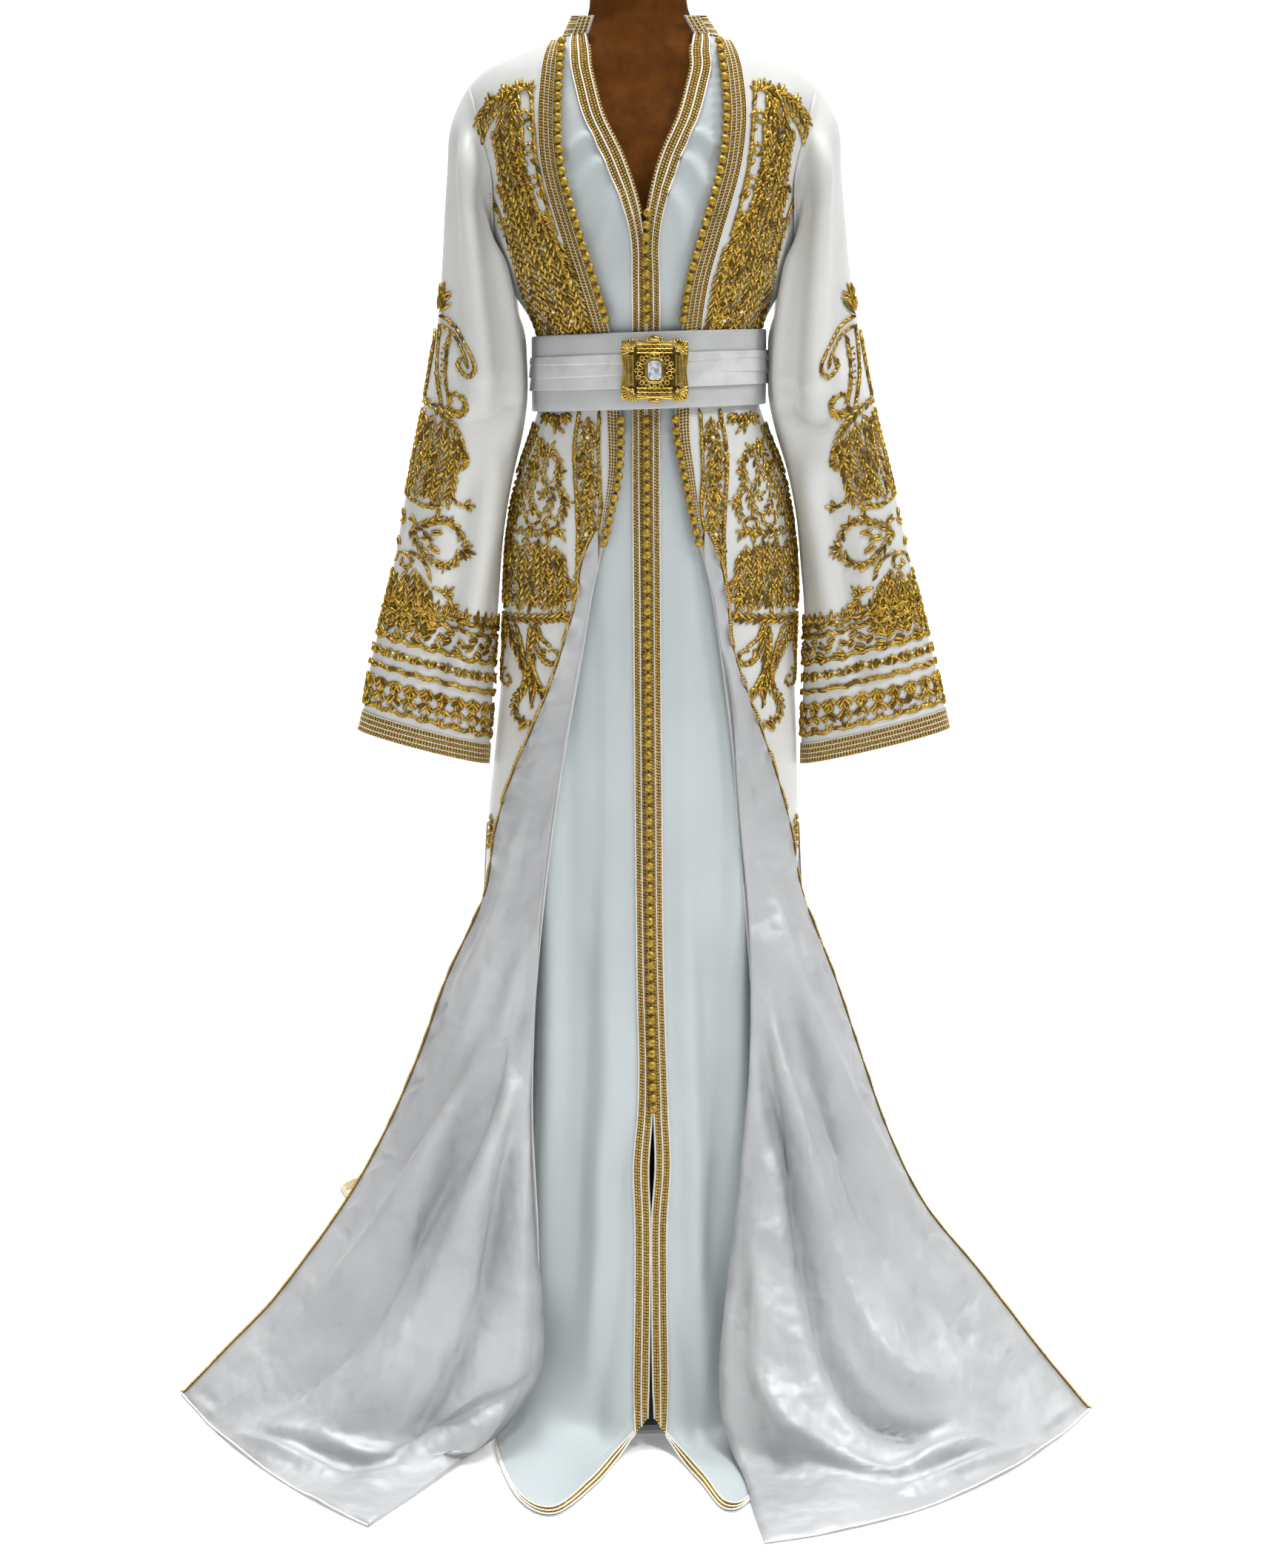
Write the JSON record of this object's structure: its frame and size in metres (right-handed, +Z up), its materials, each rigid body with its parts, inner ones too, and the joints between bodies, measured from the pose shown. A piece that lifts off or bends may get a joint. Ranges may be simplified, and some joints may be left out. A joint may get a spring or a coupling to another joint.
{
  "type": "takchita on a dress form",
  "caption": "Moroccan two-layer long dress with an open embroidered outer dress, trains and a jewelled belt, worn by a limbless dress form on a round base.",
  "frame": {"origin": "centre of the underside of the dress form's base, on the floor", "axes": "+Z up, -Y out of the dress's front, +X to the right seen from the front"},
  "size_m": [0.9711, 1.33, 1.5],
  "materials": {
    "form_velvet": "brown short-pile velvet",
    "pole_steel": "dark steel tube",
    "base_enamel": "white enamelled plate",
    "ice_satin": "cool white satin",
    "gold_braid": "antique gold thread braid",
    "gold_buttons": "gold thread ball buttons",
    "ivory_satin": "ivory crepe satin",
    "silver_satin": "silver white satin lining",
    "gold_embroidery": "raised gold thread embroidery",
    "belt_leather": "pale grey leather",
    "sash_satin": "pleated pale satin",
    "gold_metal": "gilded openwork",
    "clear_stone": "clear cut stone"
  },
  "bodies": {
    "root": {"belt_band": "belt_leather", "belt_sash": "sash_satin", "buckle_plate": "gold_metal", "buckle_stone": "clear_stone", "cuff_braid_left": "gold_braid", "cuff_braid_right": "gold_braid", "embroidery_chest_left": "gold_embroidery", "embroidery_chest_right": "gold_embroidery", "embroidery_column_left": "gold_embroidery", "embroidery_column_right": "gold_embroidery", "embroidery_cuff_left": "gold_embroidery", "embroidery_cuff_right": "gold_embroidery", "embroidery_hip_left": "gold_embroidery", "embroidery_hip_right": "gold_embroidery", "embroidery_sleeve_left": "gold_embroidery", "embroidery_sleeve_right": "gold_embroidery", "form_base": "base_enamel", "form_pole": "pole_steel", "form_torso": "form_velvet", "inner_back": "ice_satin", "inner_braid_left": "gold_braid", "inner_braid_right": "gold_braid", "inner_buttons_lower": "gold_buttons", "inner_buttons_upper": "gold_buttons", "inner_collar": "ice_satin", "inner_collar_braid": "gold_braid", "inner_front_left": "ice_satin", "inner_front_right": "ice_satin", "inner_hem_left": "gold_braid", "inner_hem_right": "gold_braid", "outer_back": "ivory_satin", "outer_back_braid": "gold_braid", "outer_braid_left": "gold_braid", "outer_braid_right": "gold_braid", "outer_buttons_left_lower": "gold_buttons", "outer_buttons_left_upper": "gold_buttons", "outer_buttons_right_lower": "gold_buttons", "outer_buttons_right_upper": "gold_buttons", "outer_cord_left": "gold_braid", "outer_cord_right": "gold_braid", "outer_front_left": "ivory_satin", "outer_front_right": "ivory_satin", "outer_turn_left": "silver_satin", "outer_turn_right": "silver_satin", "sleeve_left": "ivory_satin", "sleeve_right": "ivory_satin"}
  },
  "joints": []
}
